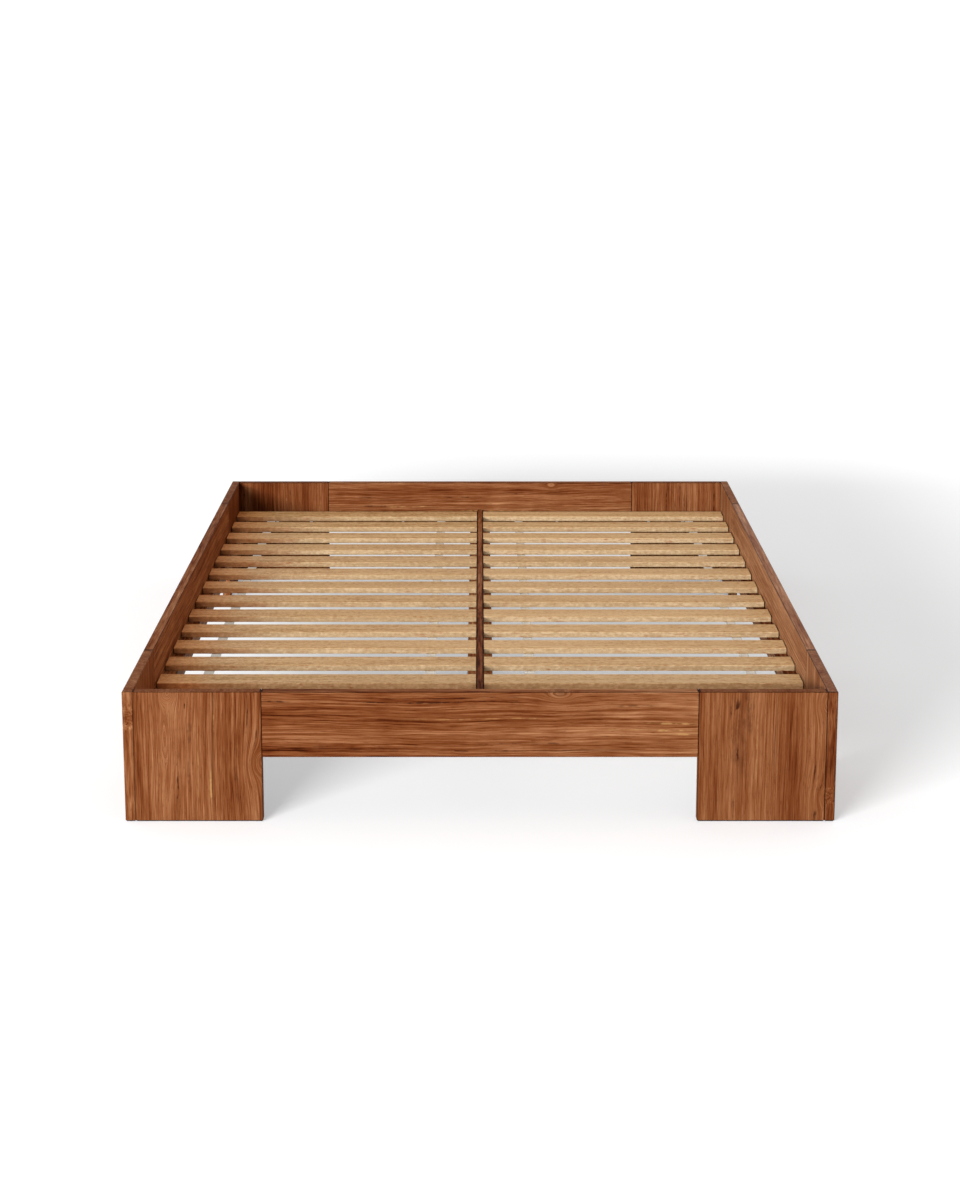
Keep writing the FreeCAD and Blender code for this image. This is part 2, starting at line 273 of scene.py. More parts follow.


# The boards whose marks or tone are listed one by one; the rest get a random figure.
# Several of these tones and edge shares are painted light and shade as well as the wood's own tone: the
# head end's left leg board is darkened for the shade in that corner, the ledges are lightened while their
# tops are darkened for the slats' shade, and the side boards' tones and edge shares make their lit and
# shaded faces lighter or darker.
FIGURES = {
    "leg_end_foot_left": Figure(
        tone=0.02,
        contrast=0.78,
        seam=0.70,
        knots=(
            Knot(-0.069, 0.147, 0.015, 1.4),
            Knot(-0.078, 0.040, 0.008, 6.5),
            Knot(0.147, -0.015, 0.021, 1.5),
        ),
        dark=(
            Streak(0.1135, 0.098, 0.060, 0.0016, 0.9, 0.2),
            Streak(0.133, 0.040, 0.035, 0.0014, 0.7, 0.3),
            Streak(-0.050, -0.056, 0.085, 0.0030, 0.8, 0.7),
            Streak(-0.033, 0.118, 0.008, 0.0020, 0.9, 0.1),
            Streak(-0.020, 0.010, 0.110, 0.0060, 0.35, 0.6),
            Streak(0.090, -0.030, 0.110, 0.0050, 0.35, 0.5),
        ),
        gold=(
            Streak(0.028, -0.080, 0.070, 0.0024, 0.75, 0.5),
            Streak(0.036, 0.100, 0.050, 0.0018, 0.5, 0.5),
            Streak(0.000, -0.020, 0.130, 0.0016, 0.4, 0.5),
        ),
    ),
    "leg_end_foot_right": Figure(
        tone=0.0,
        contrast=0.62,
        knots=(
            Knot(0.146, 0.124, 0.016, 1.4),
            Knot(0.145, -0.097, 0.013, 1.6),
        ),
        dark=(
            Streak(-0.0585, 0.099, 0.042, 0.0065, 0.85, 1.0),
            Streak(-0.0725, 0.105, 0.022, 0.0022, 0.8, 0.5),
            Streak(-0.0555, 0.008, 0.022, 0.0045, 0.85, 0.8),
            Streak(-0.0600, -0.124, 0.032, 0.0026, 0.8, 0.5),
            Streak(-0.0315, 0.097, 0.060, 0.0120, 0.35, 0.6),
            Streak(-0.0480, 0.060, 0.150, 0.0240, 0.30, 0.3),
            Streak(0.1205, -0.041, 0.032, 0.0024, 0.9, 0.2),
            Streak(0.1360, -0.059, 0.024, 0.0018, 0.8, 0.3),
            Streak(0.1260, -0.142, 0.020, 0.0036, 0.7, 0.4),
        ),
        gold=(Streak(-0.010, 0.02, 0.100, 0.0020, 0.35, 0.6),),
    ),
    "rail_foot": Figure(
        tone=0.0,
        drift=0.26,
        knots=(Knot(0.073, 0.176, 0.013, 2.2, 0.3),),
        dark=(
            Streak(0.0555, -0.130, 0.270, 0.0018, 0.95, 0.5),
            Streak(0.0640, -0.030, 0.150, 0.0014, 0.9, 0.5),
            Streak(0.0530, -0.455, 0.040, 0.0022, 0.8, 0.3),
            Streak(-0.0420, 0.080, 0.160, 0.0018, 0.6, 0.5),
            Streak(-0.0580, 0.060, 0.200, 0.0022, 0.6, 0.5),
            Streak(-0.0560, -0.300, 0.200, 0.0080, 0.35, 0.5),
            Streak(-0.0585, -0.051, 0.009, 0.0018, 0.9, 0.0),
            Streak(0.0430, 0.330, 0.140, 0.0022, 0.45, 0.6),
        ),
        gold=(
            Streak(-0.0110, 0.390, 0.130, 0.0022, 0.75, 0.5),
            Streak(0.0040, 0.430, 0.080, 0.0020, 0.65, 0.6),
            Streak(-0.0200, 0.440, 0.070, 0.0026, 0.65, 0.6),
            Streak(0.0160, 0.020, 0.240, 0.0014, 0.40, 0.6),
        ),
    ),
    "rail_right": Figure(tone=0.16, edge=-0.06, gloss=0.03),
    "leg_side_foot_right": Figure(tone=0.10, edge=-0.24, gloss=0.02),
    "leg_side_head_right": Figure(tone=0.13),
    "rail_left": Figure(tone=0.12, edge=-0.10, warm=0.9),
    "leg_side_foot_left": Figure(tone=0.09, edge=-0.06, seam=0.35, warm=1.0),
    "leg_side_head_left": Figure(tone=-0.06, warm=0.8),
    "rail_head": Figure(tone=-0.02),
    "leg_end_head_left": Figure(tone=-0.13, contrast=0.6),
    "centre_beam": Figure(tone=-0.20),
    "leg_end_head_right": Figure(tone=0.02, contrast=0.75),
    "ledge_left": Figure(tone=0.35, edge=-0.65),
    "ledge_right": Figure(tone=0.25, edge=-0.50),
}


def random_figure(draw, half_width, half_length):
    """A quiet figure for a board: a knot near one edge, a long narrow eye and a few thin streaks."""
    knot_side = draw.choice((-1, 1))
    knot = Knot(
        knot_side * (half_width + draw.uniform(-0.004, 0.006)), draw.uniform(-0.8, 0.8) * half_length,
        draw.uniform(0.008, 0.016), draw.uniform(1.4, 2.4))
    eye = Knot(
        draw.uniform(-0.6, 0.6) * half_width, draw.uniform(-0.8, 0.8) * half_length,
        draw.uniform(0.004, 0.008), draw.uniform(5, 8))
    dark = [
        Streak(
            draw.uniform(-0.95, 0.95) * half_width, draw.uniform(-0.9, 0.9) * half_length,
            draw.uniform(0.03, 0.16), draw.uniform(0.0012, 0.0030), draw.uniform(0.6, 0.9), 0.5)
        for _ in range(6)]
    gold = [
        Streak(
            draw.uniform(-0.9, 0.9) * half_width, draw.uniform(-0.9, 0.9) * half_length,
            draw.uniform(0.05, 0.15), draw.uniform(0.0014, 0.0024), draw.uniform(0.3, 0.6), 0.6)
        for _ in range(3)]
    return (knot, eye), dark, gold


def flow_round(graph, knots, along, straight_flow):
    """The grain's place across the board once it bends round the knots, and how dark their hearts are."""
    flow = straight_flow
    heart = 0.0
    for knot in knots:
        ahead = graph.times(graph.plus(along, -knot.along), 1 / knot.stretch)
        aside = graph.plus(straight_flow, -knot.aside)
        square = graph.plus(graph.times(ahead, ahead), graph.times(aside, aside))
        pull = graph.math("MINIMUM", graph.math("DIVIDE", knot.radius ** 2, square), 1.0)
        depth = graph.most(graph.plus(knot.radius, graph.times(graph.math("SQRT", square), -1.0)), 0.0)
        flow = graph.plus(flow, graph.times(graph.times(aside, pull), -1.0), graph.times(depth, KNOT_DEPTH))
        heart = graph.most(heart, graph.times(graph.fade(depth, 0.0, knot.radius * 0.7), knot.dark))
    return flow, heart


def streak_mask(graph, streak, along, flow, gaps):
    """Where a streak shows, 0 to 1: ragged at its sides, faded at its ends and broken by the gaps."""
    apart = graph.math("ABSOLUTE", graph.plus(flow, -streak.aside))
    ahead = graph.math("ABSOLUTE", graph.plus(along, -streak.along))
    ragged = graph.plus(apart, graph.times(graph.plus(gaps, -0.5), streak.half_width * 2.5))
    inside = graph.times(
        graph.fade(ragged, streak.half_width, 0.0),
        graph.fade(ahead, streak.half_length, streak.half_length * 0.4))
    kept = graph.fade(gaps, 0.50, 0.40, 1.0 - streak.broken, 1.0)
    return graph.times(graph.times(inside, kept), streak.strength)


def walnut(name, node, seed):
    """Walnut for one board: fine lines that flow round knots, bands, streaks, veins and pores."""
    draw = random.Random(seed)
    shift = [draw.uniform(-9, 9) for _ in range(3)]
    (along_axis, across_axis, through_axis), middle = board_axes(node)
    low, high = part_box(node)
    half = (high - low) / 2
    figure = FIGURES.get(node, Figure())
    if figure.knots:
        knots, dark, gold = figure.knots, figure.dark, figure.gold
    else:
        knots, dark, gold = random_figure(draw, half[AXES[across_axis]], half[AXES[along_axis]])

    graph = Graph(name)
    place = graph.place()
    along, across, through = (
        graph.plus(place[AXES[axis]], -middle[AXES[axis]])
        for axis in (along_axis, across_axis, through_axis))

    def field(along_scale, across_scale, value, offset, **settings):
        """Noise drawn out along the grain, with so many cells a metre along and across it."""
        return graph.noise(
            graph.plus(graph.times(along, along_scale), shift[0] + offset),
            graph.plus(graph.times(value, across_scale), shift[1]),
            graph.plus(graph.times(through, across_scale * 0.6), shift[2]),
            **settings)

    wander_width = RAIL_WANDER if node.startswith("rail_") else BOARD_WANDER
    wander = graph.about_zero((field(2.4, 5.0, across, 0.0, detail=1.0), wander_width))
    ripple = graph.about_zero((field(11.0, 26.0, across, 3.0, detail=1.0), RIPPLE))
    flow, heart = flow_round(graph, knots, along, graph.plus(across, wander, ripple))

    bands = field(1.1, 26.0, flow, 11.0, detail=1.0)
    lines = field(2.6, 190.0, flow, 13.0, detail=3.0, roughness=0.68)
    fibres = field(16.0, 520.0, flow, 17.0, detail=2.0, roughness=0.6)
    mottle = field(16.0, 14.0, flow, 19.0, detail=2.0)
    facing = graph.normal()
    narrow = graph.fade(facing[AXES[across_axis]], *FACE_ON)
    broad = graph.fade(facing[AXES[through_axis]], *FACE_ON)
    grain = graph.about_zero((bands, 0.8), (lines, 1.4), (fibres, 1.2), (mottle, 0.3))
    # figure.edge darkens the narrow faces: painted shade, as on the ledges' tops where the slats shade
    # them.
    tone = graph.plus(
        graph.times(grain, figure.contrast),
        graph.times(along, figure.drift),
        graph.times(narrow, figure.edge),
        0.5 + figure.tone)
    # Painted warm bounce light: the broad faces are tinted redder by the board's warm share, for the light
    # that walnut throws into its own shade.
    colour = graph.tint(graph.times(broad, figure.warm), graph.ramp(tone, WALNUT), PAINTED_WARM_BOUNCE)

    for streaks, streak_colour, offset in ((gold, GOLD_STREAK, 60.0), (dark, DARK_STREAK, 30.0)):
        for number, streak in enumerate(streaks):
            gaps = field(45.0, 90.0, flow, offset + 7 * number, detail=2.0)
            colour = graph.mix(streak_mask(graph, streak, along, flow, gaps), colour, streak_colour)
    veins = graph.fade(field(2.2, 85.0, flow, 23.0, detail=2.0, roughness=0.6), 0.62, 0.76)
    colour = graph.mix(graph.times(veins, VEIN_SHARE), colour, DARK_STREAK)
    pores = graph.fade(field(70.0, 800.0, flow, 31.0, detail=1.0), 0.62, 0.74)
    colour = graph.mix(graph.times(pores, PORE_SHARE), colour, DARK_STREAK)
    if any(knot.dark for knot in knots):
        colour = graph.mix(heart, colour, DARK_STREAK)

    end_face = graph.fade(facing[AXES[along_axis]], *FACE_ON)
    colour = graph.mix(graph.times(end_face, END_GRAIN_SHARE), colour, END_GRAIN)
    # Painted shade: the eased edges, and the grooves they make where boards meet, are darkened towards
    # EDGE_SHADE by the board's share.
    eased = graph.fade(graph.most(*facing), *EASED)
    colour = graph.mix(graph.times(eased, figure.seam), colour, EDGE_SHADE)
    # Painted shade: the top face is darkened where the board ends against its neighbour, for the shadow in
    # the joint.
    run, run_axis = (across, across_axis) if node.startswith("leg_") else (along, along_axis)
    run_end = half[AXES[run_axis]]
    painted_joint_shade = graph.fade(graph.math("ABSOLUTE", run), run_end - JOINT_SHADE, run_end - 0.6 * JOINT_SHADE)
    top_face = graph.fade(facing[AXES["Z"]], *FACE_ON)
    colour = graph.mix(graph.times(graph.times(painted_joint_shade, top_face), JOINT_SHARE), colour, EDGE_SHADE)
    graph.bump(graph.plus(fibres, graph.times(pores, -1.0), graph.times(lines, 0.6)), 0.22, 0.4 * MM)
    return graph.finish(colour, graph.fade(lines, 0.3, 0.7, 0.52, 0.40), specular=figure.gloss)


# ---------------------------------------------------------------- slat wood

SLAT_WOOD = (
    (0.20, srgb(119, 86, 51)),
    (0.40, srgb(139, 107, 69)),
    (0.55, srgb(148, 116, 79)),
    (0.75, srgb(159, 129, 92)),
)
SAWN_AND_SHADED_WOOD = (
    (0.20, srgb(112, 89, 62)),
    (0.55, srgb(127, 106, 79)),
    (0.75, srgb(139, 119, 93)),
)
SLAT_FLECK = srgb(104, 56, 24)
SLAT_END = srgb(80, 66, 52)
FLECK_SHARE = 0.75
END_SHARE = 0.8
SLAT_FACE_ON = (0.75, 0.95)
# Painted light and shade: the left slats are a little darker and the right ones a little lighter.
SIDE_SHADE_TONE = {"left": -0.04, "right": 0.05}
# Light thrown back by the walnut, painted into the colour as tints: on the left slats' tops by their outer
# ends, where the tint also darkens them as painted shade, on those ends' shaded long edges, and on the long
# edges of the slats that lie within FOOT_REACH of the foot rail.
RAIL_GLOW = (0.97, 0.84, 0.72)
RAIL_GLOW_REACH = (0.050, 0.115)
SHADE_GLOW = (1.0, 0.66, 0.47)
SHADE_GLOW_REACH = (0.05, 0.26)
SHADE_GLOW_SHARE = 0.8
FOOT_GLOW = (1.08, 0.86, 0.70)
FOOT_REACH = 0.35


def slat_wood(name, node, seed):
    """Pale slat wood: soft bands and short brown flecks along X, greyer long edges that are partly sawn
    wood and partly painted shade, darker ends.
    """
    draw = random.Random(seed)
    shift = [draw.uniform(-9, 9) for _ in range(3)]
    tone = draw.uniform(-0.05, 0.05) + SIDE_SHADE_TONE[node.split("_")[1]]
    middle = board_axes(node)[1]
    graph = Graph(name)
    place = graph.place()
    along, across, up = (graph.plus(value, -centre) for value, centre in zip(place, middle))

    def field(along_scale, across_scale, offset, **settings):
        """Noise with so many cells a metre along the slat and across it."""
        return graph.noise(
            graph.plus(graph.times(along, along_scale), shift[0] + offset),
            graph.plus(graph.times(across, across_scale), shift[1]),
            graph.plus(graph.times(up, across_scale), shift[2]),
            **settings)

    bands = field(1.8, 60.0, 0.0, detail=3.0, roughness=0.6)
    fibres = field(18.0, 420.0, 7.0, detail=2.0)
    specks = field(95.0, 130.0, 23.0, detail=2.0, roughness=0.7)
    shade = graph.plus(graph.about_zero((bands, 0.7), (fibres, 0.6), (specks, 1.3)), 0.5 + tone)
    colour = graph.ramp(shade, SLAT_WOOD)
    facing = graph.normal()
    edge_face = graph.fade(facing[AXES["Y"]], *SLAT_FACE_ON)
    # The long edges take a greyer, darker wood: partly the sawn surface and partly painted shade.
    colour = graph.mix(edge_face, colour, graph.ramp(shade, SAWN_AND_SHADED_WOOD))
    flecks = graph.fade(field(45.0, 380.0, 13.0, detail=2.0, roughness=0.6), 0.56, 0.70)
    patches = graph.fade(field(6.0, 30.0, 17.0, detail=1.0), 0.40, 0.60)
    colour = graph.mix(graph.times(graph.times(flecks, patches), FLECK_SHARE), colour, SLAT_FLECK)
    if node.startswith("slat_left_"):
        from_end = graph.plus(place[AXES["X"]], graph.times(patches, -0.03), -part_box(node)[0].x)
        near_rail = graph.fade(from_end, *RAIL_GLOW_REACH, 1.0, 0.0)
        in_shade = graph.fade(from_end, *SHADE_GLOW_REACH, SHADE_GLOW_SHARE, 0.0)
        colour = graph.tint(near_rail, colour, RAIL_GLOW)
        colour = graph.tint(graph.times(edge_face, in_shade), colour, SHADE_GLOW)
    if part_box(node)[0].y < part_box("rail_foot")[1].y + FOOT_REACH:
        colour = graph.tint(edge_face, colour, FOOT_GLOW)
    end_face = graph.fade(facing[AXES["X"]], *SLAT_FACE_ON)
    colour = graph.mix(graph.times(end_face, END_SHARE), colour, SLAT_END)
    graph.bump(graph.plus(fibres, graph.times(flecks, -0.6)), 0.2, 0.4 * MM)
    return graph.finish(colour, graph.fade(bands, 0.3, 0.7, 0.66, 0.54), specular=0.10)


# ---------------------------------------------------------------- other materials


def fine_noise(graph, scale, detail=3.0):
    """Even noise at one scale over the whole piece."""
    return graph.noise(*[graph.times(value, scale) for value in graph.place()], detail=detail)


WEFT_PITCH, WARP_PITCH = 1.1 * MM, 1.4 * MM


def webbing():
    """Pale woven strap: yarns along and across it."""
    graph = Graph("woven_webbing")
    x, y, _ = graph.place()
    rib = graph.math("SINE", graph.times(y, 2 * math.pi / WEFT_PITCH))
    yarn = graph.math("SINE", graph.times(x, 2 * math.pi / WARP_PITCH))
    weave = graph.times(rib, yarn)
    fuzz = fine_noise(graph, 500.0)
    wear = fine_noise(graph, 14.0)
    shade = graph.plus(graph.times(weave, 0.12), graph.times(fuzz, 0.5), graph.times(wear, 0.5))
    colour = graph.ramp(shade, (
        (0.25, srgb(142, 136, 126)), (0.50, srgb(172, 167, 158)), (0.75, srgb(188, 184, 177))))
    graph.bump(graph.plus(weave, fuzz), 0.6, 0.3 * MM)
    graph.shader.inputs["Sheen Weight"].default_value = 0.2
    return graph.finish(colour, 0.85, specular=0.2)


def felt():
    """Dark pressed felt."""
    graph = Graph("pressed_felt")
    fuzz = fine_noise(graph, 900.0, detail=4.0)
    tufts = fine_noise(graph, 160.0)
    shade = graph.plus(graph.times(fuzz, 0.6), graph.times(tufts, 0.4))
    colour = graph.ramp(shade, ((0.3, srgb(30, 26, 23)), (0.7, srgb(66, 59, 52))))
    graph.bump(fuzz, 0.8, 0.5 * MM)
    graph.shader.inputs["Sheen Weight"].default_value = 0.3
    return graph.finish(colour, 0.95, specular=0.1)


def steel():
    """Zinc-plated steel with faint handling marks."""
    graph = Graph("zinc_steel")
    marks = fine_noise(graph, 350.0)
    colour = graph.ramp(marks, ((0.3, srgb(150, 148, 142)), (0.7, srgb(196, 195, 190))))
    graph.shader.inputs["Metallic"].default_value = 1.0
    return graph.finish(colour, graph.fade(marks, 0.3, 0.7, 0.28, 0.42))


def beech():
    """Pale dowel wood with fine lines along X."""
    graph = Graph("beech_dowel")
    x, y, z = graph.place()
    grain = graph.noise(graph.times(x, 40.0), graph.times(y, 900.0), graph.times(z, 900.0), detail=2.0)
    colour = graph.ramp(grain, ((0.3, srgb(170, 130, 90)), (0.7, srgb(205, 170, 128))))
    graph.bump(grain, 0.2, 0.2 * MM)
    return graph.finish(colour, 0.6, specular=0.3)


def dress(piece, material):
    """Give a piece one material in every slot."""
    if not piece.material_slots:
        piece.data.materials.append(material)
    for slot in piece.material_slots:
        slot.material = material


# ---------------------------------------------------------------- webbing straps

SIDES = ("left", "right")
ROWS_PER_RIB = 3
RIB_PITCH = 3.0 * MM
RIB_DEPTH = 0.10 * MM
HEM_LENGTH = 16 * MM
HEM_BEND = 0.95 * MM
HEM_BEND_STEPS = 6
STRAP_SAG = 2.2 * MM
# The strap's section, as shares of its half width and half thickness: flat in the middle and thick at
# each rounded selvedge.
SELVEDGE = ((0.84, 0.82), (0.90, 1.0), (0.97, 0.75))
STRAP_SECTION = (
    (-1.0, 0.0), *((-x, z) for x, z in SELVEDGE[::-1]), (0.0, 0.85), *SELVEDGE,
    (1.0, 0.0), *((x, -z) for x, z in SELVEDGE[::-1]), (0.0, -0.85), *((-x, -z) for x, z in SELVEDGE))


def new_piece(name, builder, material):
    """A new object from a bmesh, with one material and smooth shading."""
    mesh = bpy.data.meshes.new(name)
    builder.to_mesh(mesh)
    builder.free()
    piece = bpy.data.objects.new(name, mesh)
    bpy.context.scene.collection.objects.link(piece)
    mesh.polygons.foreach_set("use_smooth", [True] * len(mesh.polygons))
    dress(piece, material)
    return piece


def sag_between(y, slats):
    """How far a strap hangs below the slats at y: nothing under a slat."""
    for below, above in zip(slats, slats[1:]):
        if below[1] < y < above[0]:
            share = (y - below[1]) / (above[0] - below[1])
            return STRAP_SAG * math.sin(math.pi * share) ** 2
    return 0.0


def strap_path(low, high, slats):
    """The strap's centreline as (y, z) points, from one turned-under hem to the other."""
    level = (low.z + high.z) / 2
    step = RIB_PITCH / ROWS_PER_RIB
    start, end = low.y + HEM_BEND, high.y - HEM_BEND
    count = round((end - start) / step)
    top = [start + (end - start) * index / count for index in range(count + 1)]
    points = [(y, level - sag_between(y, slats)) for y in top]
    angles = [math.pi * index / HEM_BEND_STEPS for index in range(1, HEM_BEND_STEPS + 1)]
    hem = [step * index for index in range(1, round(HEM_LENGTH / step) + 1)]
    under = level - 2 * HEM_BEND
    for outward, y_end in ((1, end), (-1, start)):
        bend = [
            (y_end + outward * HEM_BEND * math.sin(angle), level - HEM_BEND + HEM_BEND * math.cos(angle))
            for angle in angles]
        turned = bend + [(y_end - outward * back, under) for back in hem]
        points = points + turned if outward > 0 else turned[::-1] + points
    return points


def webbing_strap(node, body, slats, material):
    """A woven strap swept under its slats, with ribs, thick selvedges and turned-under hems."""
    low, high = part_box(node)
    half_width, half_thick = (high.x - low.x) / 2, (high.z - low.z) / 2
    middle = (low.x + high.x) / 2
    points = strap_path(low, high, slats)
    builder = bmesh.new()
    rings = []
    for index, (y, z) in enumerate(points):
        before, after = points[max(index - 1, 0)], points[min(index + 1, len(points) - 1)]
        tangent = Vector((after[0] - before[0], after[1] - before[1])).normalized()
        thin = RIB_DEPTH * (1 - math.cos(2 * math.pi * index / ROWS_PER_RIB)) / 2
        lift = half_thick - thin
        rings.append([
            builder.verts.new((
                middle + aside * half_width, y - tangent.y * rise * lift, z + tangent.x * rise * lift))
            for aside, rise in STRAP_SECTION])
    sides = len(STRAP_SECTION)
    for first, second in zip(rings, rings[1:]):
        for index in range(sides):
            following = (index + 1) % sides
            builder.faces.new((first[index], first[following], second[following], second[index]))
    builder.faces.new(rings[0])
    builder.faces.new(rings[-1][::-1])
    bmesh.ops.recalc_face_normals(builder, faces=builder.faces)
    strap = new_piece(f"webbing_{node}", builder, material)
    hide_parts(node)
    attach(strap, body)


# ---------------------------------------------------------------- felt pads

PAD_INSET = 2.6 * MM
PAD_EDGE = 0.6 * MM
PAD_CELL = 4 * MM
PAD_SEED = 71


def felt_pad(builder, low, high, draw):
    """One pressed pad: two fine faces joined by a soft uneven side."""
    columns, rows = (max(2, round((high[axis] - low[axis]) / PAD_CELL)) for axis in (0, 1))
    top, bottom, waist = {}, {}, {}
    for i in range(columns + 1):
        for j in range(rows + 1):
            x = low.x + (high.x - low.x) * i / columns
            y = low.y + (high.y - low.y) * j / rows
            drop = PAD_EDGE if i in (0, columns) or j in (0, rows) else 0.0
            top[i, j] = builder.verts.new((x, y, high.z - drop * draw.uniform(0.6, 1.0)))
            bottom[i, j] = builder.verts.new((x, y, low.z + drop * draw.uniform(0.3, 0.7)))
    for i in range(columns):
        for j in range(rows):
            builder.faces.new((top[i, j], top[i + 1, j], top[i + 1, j + 1], top[i, j + 1]))
            builder.faces.new((bottom[i, j], bottom[i, j + 1], bottom[i + 1, j + 1], bottom[i + 1, j]))
    border = [(i, 0) for i in range(columns)] + [(columns, j) for j in range(rows)]
    border += [(i, rows) for i in range(columns, 0, -1)] + [(0, j) for j in range(rows, 0, -1)]
    for key in border:
        outward = Vector(((key[0] == columns) - (key[0] == 0), (key[1] == rows) - (key[1] == 0), 0))
        edge = (top[key].co + bottom[key].co) / 2
        waist[key] = builder.verts.new(edge + outward * PAD_EDGE * draw.uniform(0.3, 0.9))
    for key, following in zip(border, border[1:] + border[:1]):
        builder.faces.new((bottom[key], bottom[following], waist[following], waist[key]))
        builder.faces.new((waist[key], waist[following], top[following], top[key]))


def felt_pads(material):
    """Pads under every leg panel and under the centre leg, as one piece."""
    builder = bmesh.new()
    draw = random.Random(PAD_SEED)
    pad_low, pad_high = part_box("felt_pads")
    inset = Vector((PAD_INSET, PAD_INSET, 0))
    for name in sorted(NODES):
        if name.startswith("leg_") or name == "centre_leg":
            low, high = (Vector(corner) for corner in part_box(name))
            low, high = low + inset, high - inset
            low.z, high.z = pad_low.z, pad_high.z
            felt_pad(builder, low, high, draw)
    bmesh.ops.recalc_face_normals(builder, faces=builder.faces)
    pads = new_piece("pressed_felt_pads", builder, material)
    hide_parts("felt_pads")
    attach(pads, "frame")


# ---------------------------------------------------------------- dressing the pieces

WALNUT_NODES = ("leg_", "rail_", "ledge_left", "ledge_right", "cleat_", "centre_")
STEEL, BEECH, WEBBING = steel(), beech(), webbing()
for number, name in enumerate(sorted(NODES)):
    piece = NODES[name]
    if name.startswith(WALNUT_NODES):
        dress(piece, walnut(f"walnut_{name}", name, seed=100 + number))
    elif name.startswith("slat_"):
        dress(piece, slat_wood(f"pale_{name}", name, seed=300 + number))
    elif name == "joint_dowels":
        dress(piece, BEECH)
    elif name == "ledge_screws" or name.startswith("staples_"):
        dress(piece, STEEL)

for side in SIDES:
    slats = sorted(
        (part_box(name)[0].y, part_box(name)[1].y) for name in NODES if name.startswith(f"slat_{side}_"))
    for row in ("outer", "inner"):
        webbing_strap(f"strap_{side}_{row}", f"slat_mat_{side}", slats, WEBBING)
felt_pads(felt())


# ---------------------------------------------------------------- floor, light and camera

FLOOR_HALF_SIZE = 150.0
FLOOR_GREYS = ((0.2, (0.695, 0.695, 0.697, 1.0)), (0.8, (0.705, 0.705, 0.707, 1.0)))
# The floor's own glow, from NEAR_REACH out to FAR_REACH of the frame's middle.
FLOOR_GLOW, FAR_GLOW = 0.32, 0.55
NEAR_REACH, FAR_REACH = 1.5, 4.5
# The glow is cooler under the frame, against the warm light that the walnut throws down. The tint ends
# between these shares of the frame's half size.
UNDER_TINT = (0.95, 1.03, 1.10, 1.0)
TINT_END = (0.85, 1.10)
WHITE = (1.0, 1.0, 1.0, 1.0)


def studio_floor():
    """A wide pale floor, lit faintly from within and more so far away, that runs out of sight."""
    builder = bmesh.new()
    bmesh.ops.create_grid(builder, x_segments=8, y_segments=8, size=FLOOR_HALF_SIZE)
    graph = Graph("pale_floor")
    colour = graph.ramp(fine_noise(graph, 3.0), FLOOR_GREYS)
    x, y, _ = graph.place()
    square_reach = graph.plus(graph.times(x, x), graph.times(y, y))
    glow = graph.fade(square_reach, NEAR_REACH ** 2, FAR_REACH ** 2, FLOOR_GLOW, FAR_GLOW)
    half_frame = cad_box[1]
    beyond = graph.most(*(
        graph.times(graph.math("ABSOLUTE", value), 1 / half) for value, half in zip((x, y), half_frame)))
    tint = graph.ramp(graph.fade(beyond, *TINT_END), ((0.0, UNDER_TINT), (1.0, WHITE)))
    graph.put(tint, graph.shader.inputs["Emission Color"])
    graph.put(glow, graph.shader.inputs["Emission Strength"])
    floor = new_piece("studio_floor", builder, graph.finish(colour, 0.9, specular=0.0))
    return floor


HORIZON_LIGHT = 2.2
ZENITH_LIGHT = 0.60
FRONT_SHARE = 0.45
# How high and how far back a direction points, as part of 1, where the light changes.
UPWARD = (-0.5, 0.9)
BACKWARD = (-0.9, 0.2)


def soft_studio():
    """A white studio, brighter towards the horizon than overhead and dimmer in front of the foot end."""
    world = bpy.data.worlds.new("studio")
    world.use_nodes = True
    tree = world.node_tree
    place = tree.nodes.new("ShaderNodeTexCoord")
    parts = tree.nodes.new("ShaderNodeSeparateXYZ")
    product = tree.nodes.new("ShaderNodeMath")
    product.operation = "MULTIPLY"
    tree.links.new(place.outputs["Generated"], parts.inputs[0])
    gradients = (("Z", *UPWARD, HORIZON_LIGHT, ZENITH_LIGHT), ("Y", *BACKWARD, FRONT_SHARE, 1.0))
    for factor, (axis, start, end, low, high) in zip(product.inputs, gradients):
        gradient = tree.nodes.new("ShaderNodeMapRange")
        gradient.interpolation_type = "SMOOTHERSTEP"
        limits = {"From Min": start, "From Max": end, "To Min": low, "To Max": high}
        for socket, limit in limits.items():
            gradient.inputs[socket].default_value = limit
        tree.links.new(parts.outputs[axis], gradient.inputs["Value"])
        tree.links.new(gradient.outputs["Result"], factor)
    tree.nodes["Background"].inputs["Color"].default_value = WHITE
    tree.links.new(product.outputs[0], tree.nodes["Background"].inputs["Strength"])
    bpy.context.scene.world = world


KEY_PLACE = (-3.39, -6.12, 1.62)
KEY_SIZE = (3.5, 0.7)
KEY_POWER = 20.0


def key_light():
    """A wide low panel of light in front of the foot end and to its left, as strong near as far."""
    lamp = bpy.data.lights.new("key", "AREA")
    lamp.energy = KEY_POWER
    lamp.shape = "RECTANGLE"
    lamp.size, lamp.size_y = KEY_SIZE
    lamp.use_nodes = True
    tree = lamp.node_tree
    falloff = tree.nodes.new("ShaderNodeLightFalloff")
    falloff.inputs["Strength"].default_value = 1.0
    tree.links.new(falloff.outputs["Constant"], tree.nodes["Emission"].inputs["Strength"])
    key = bpy.data.objects.new("key", lamp)
    key.location = KEY_PLACE
    key.rotation_euler = (-Vector(KEY_PLACE)).to_track_quat("-Z", "Y").to_euler()
    key.visible_camera = False
    bpy.context.scene.collection.objects.link(key)


# Angles in degrees.
OVERHEAD_SPREAD = 34
FRAME_LAMP = {"power": 2.4, "lean": 0, "turn": 0}
SLAT_LAMP = {"power": 3.4, "lean": 44, "turn": -24}


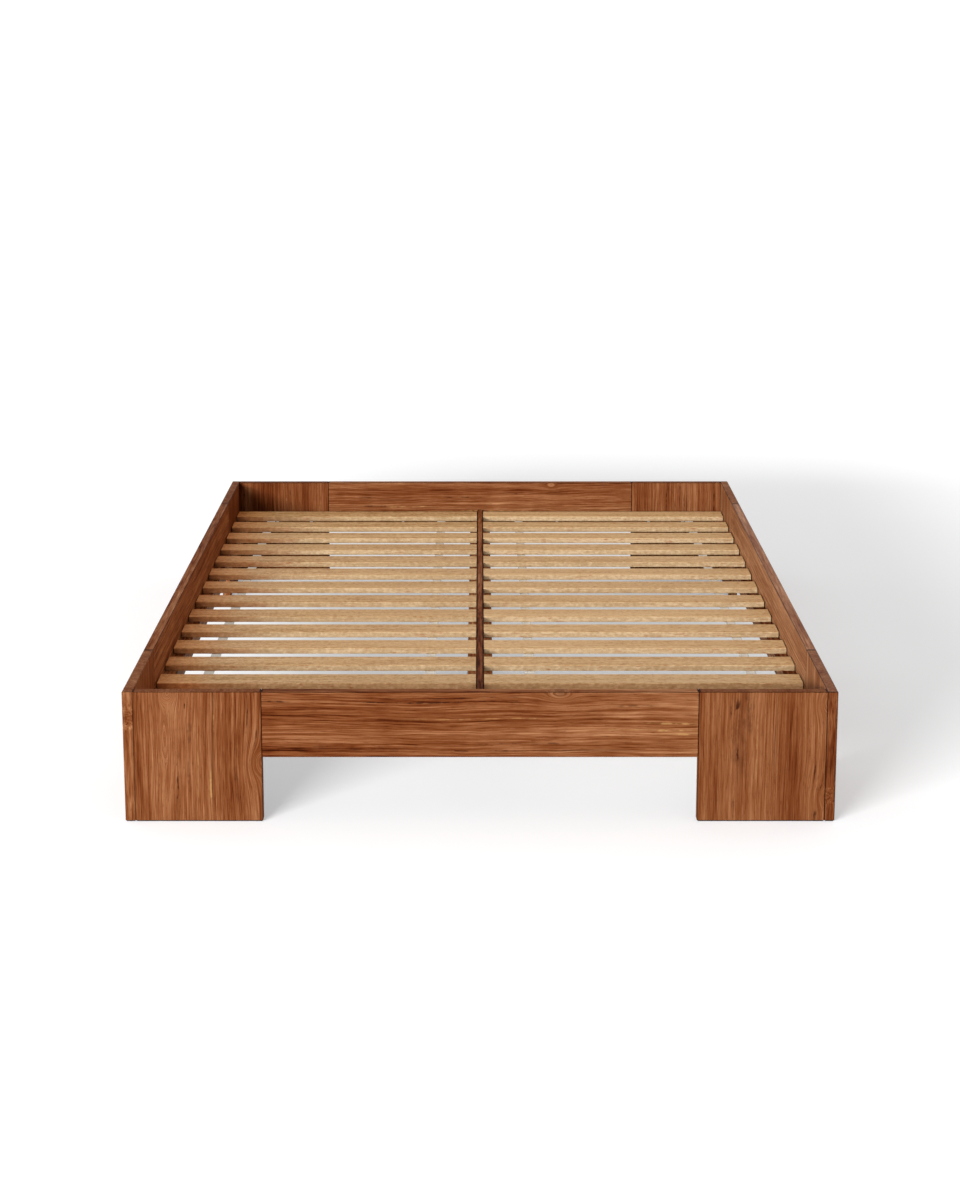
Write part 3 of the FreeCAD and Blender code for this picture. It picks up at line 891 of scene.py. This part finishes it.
def light_only(lamp, pieces):
    """Keep a lamp's light on the given pieces."""
    lit = bpy.data.collections.new(f"lit_by_{lamp.name}")
    for piece in pieces:
        lit.objects.link(piece)
    lamp.light_linking.receiver_collection = lit


def lamp_from_above(name, power, lean, turn, pieces):
    """A broad lamp, leaning towards the foot end, that lights only the given pieces."""
    lamp = bpy.data.lights.new(name, "SUN")
    lamp.energy = power
    lamp.angle = math.radians(OVERHEAD_SPREAD)
    overhead = bpy.data.objects.new(name, lamp)
    overhead.location = (0.0, 0.0, 3.0)
    overhead.rotation_euler = (math.radians(lean), 0.0, math.radians(turn))
    bpy.context.scene.collection.objects.link(overhead)
    light_only(overhead, pieces)


BOUNCE_COLOUR = (1.0, 0.42, 0.12)
BOUNCE_POWER = 0.50


def rail_bounce(pieces):
    """The warm light that the left rail's inner face throws onto the ends of the given slats."""
    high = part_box("rail_left")[1]
    recess_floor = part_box("slat_left_01")[1].z
    lamp = bpy.data.lights.new("rail_bounce", "AREA")
    lamp.energy = BOUNCE_POWER
    lamp.color = BOUNCE_COLOUR
    lamp.shape = "RECTANGLE"
    lamp.size = high.z - recess_floor
    lamp.size_y = 2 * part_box("slat_left_15")[1].y
    bounce = bpy.data.objects.new("rail_bounce", lamp)
    bounce.location = (high.x + 1 * MM, 0.0, (high.z + recess_floor) / 2)
    bounce.rotation_euler = (0.0, math.radians(-90), 0.0)
    bounce.visible_camera = False
    bpy.context.scene.collection.objects.link(bounce)
    light_only(bounce, pieces)


LENS, SENSOR = 62.036, 36.0  # millimetres
CAMERA_SHIFT = -0.17
CAMERA_PLACE = (0.0, -5.4237, 1.7794)
CAMERA_DIP = 10.493  # degrees below level
CLIP_END = 400.0


def front_camera():
    """A camera in front of the foot end, looking a little down at the frame."""
    data = bpy.data.cameras.new("camera")
    data.lens = LENS
    data.sensor_width = SENSOR
    data.shift_y = CAMERA_SHIFT
    data.clip_end = CLIP_END
    camera = bpy.data.objects.new("camera", data)
    camera.location = CAMERA_PLACE
    camera.rotation_euler = (math.radians(90 - CAMERA_DIP), 0.0, 0.0)
    bpy.context.scene.collection.objects.link(camera)
    bpy.context.scene.camera = camera


floor = studio_floor()
soft_studio()
key_light()
pieces = [piece for piece in bpy.context.scene.objects if piece.type == "MESH" and piece != floor]
slats = [piece for piece in pieces if piece.name.startswith("slat_")]
lamp_from_above("slat_lamp", pieces=slats, **SLAT_LAMP)
lamp_from_above("frame_lamp", pieces=[piece for piece in pieces if piece not in slats], **FRAME_LAMP)
rail_bounce([piece for piece in slats if piece.name.startswith("slat_left_")])
front_camera()
bpy.context.scene.view_settings.view_transform = "Standard"
